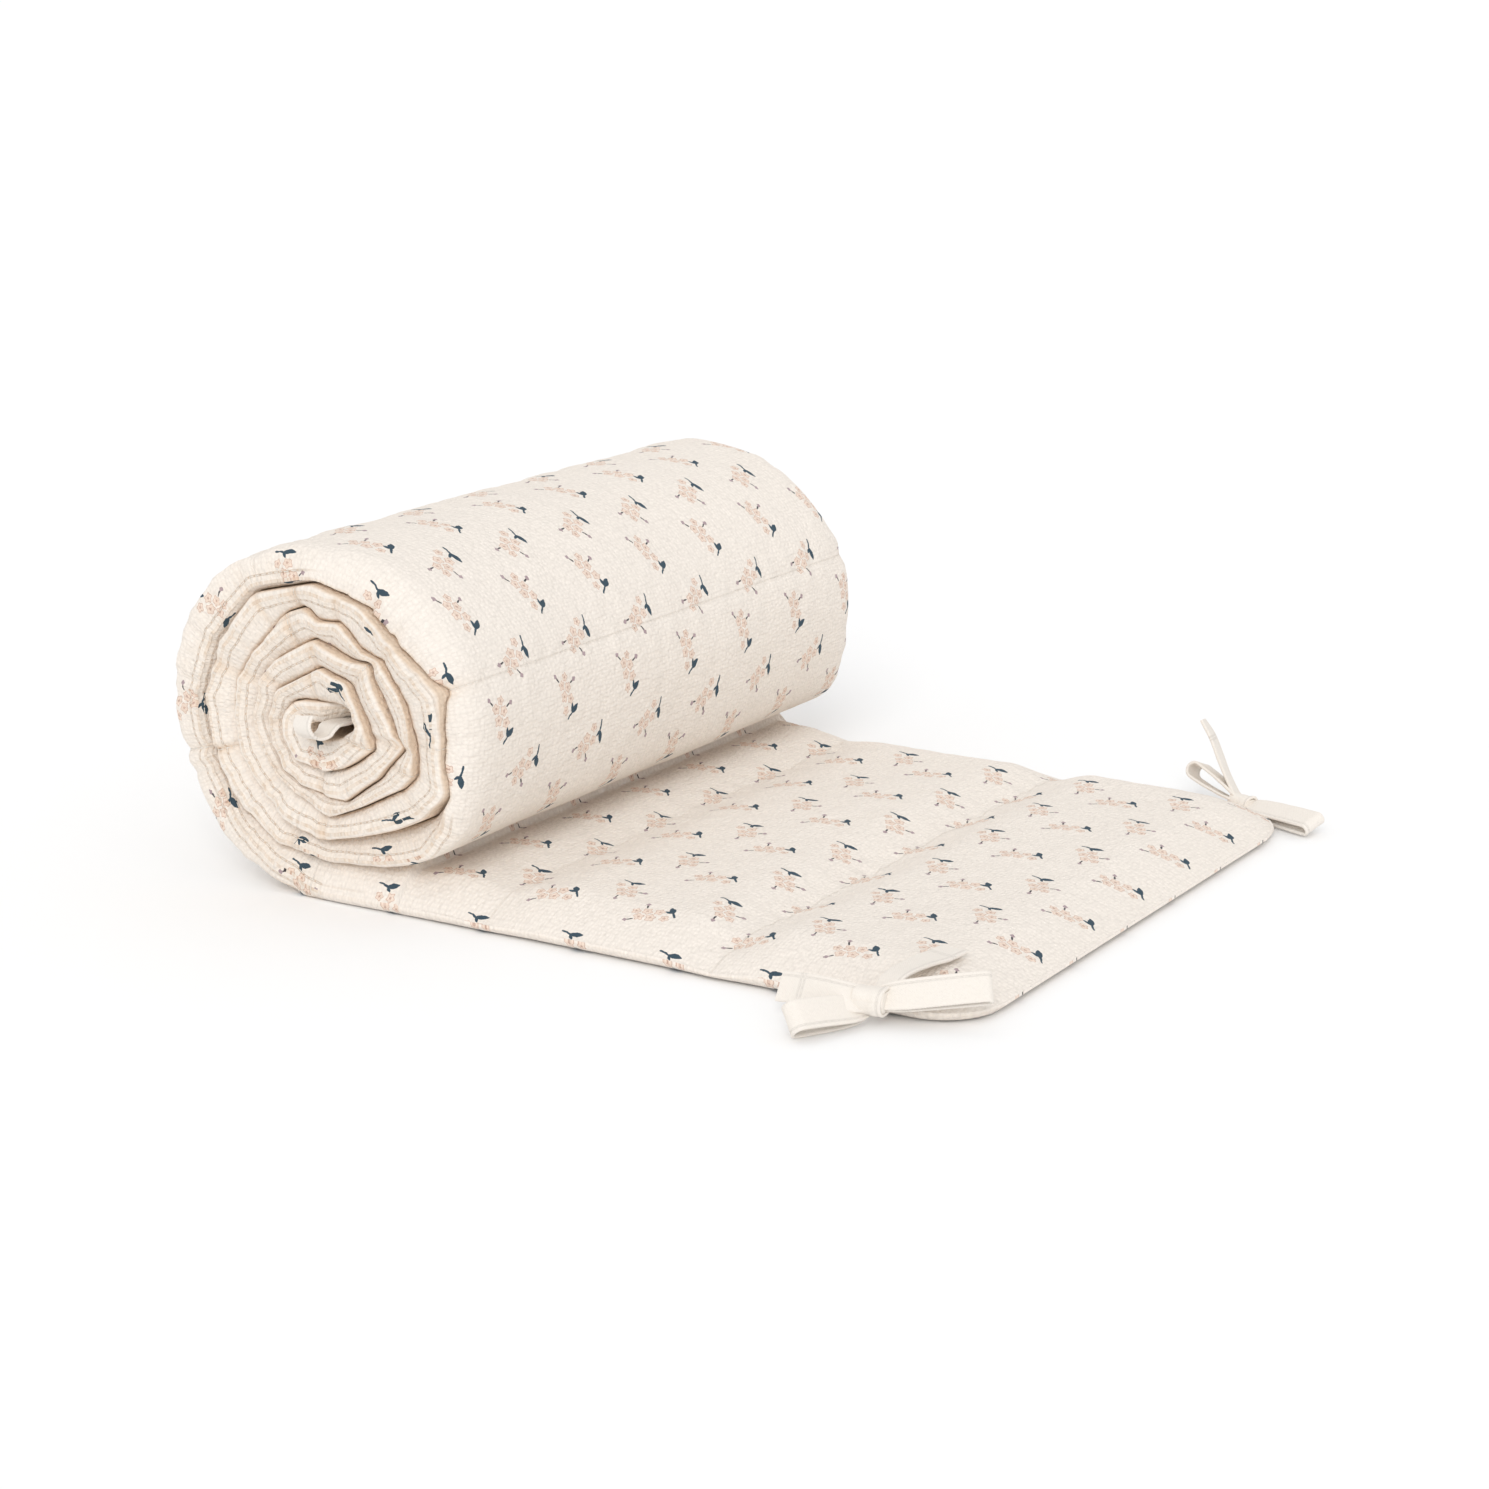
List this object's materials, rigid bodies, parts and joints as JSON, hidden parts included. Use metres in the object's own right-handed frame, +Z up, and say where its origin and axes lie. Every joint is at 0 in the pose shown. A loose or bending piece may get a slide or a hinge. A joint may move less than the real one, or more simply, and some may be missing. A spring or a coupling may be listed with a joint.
{
  "type": "crib bumper",
  "caption": "Quilted cotton crib bumper, partly rolled up with its tail lying flat, with fabric tie ribbons in bows at the corners to fasten it to a cot's rails.",
  "frame": {"origin": "on the flat underside, below the core of the roll, midway along the roll's axis", "axes": "+X along the tail away from the roll, +Y along the roll's axis to its far end, +Z up"},
  "size_m": [0.3773, 0.3616, 0.141],
  "materials": {
    "printed_cotton": "matt crinkled cotton, cream with a small flower sprig print",
    "tape_cotton": "matt plain-weave cotton tape, off-white"
  },
  "bodies": {
    "root": {"quilted_band": "printed_cotton", "near_corner_tie": "tape_cotton", "far_corner_tie": "tape_cotton", "core_tie": "tape_cotton"}
  },
  "joints": []
}
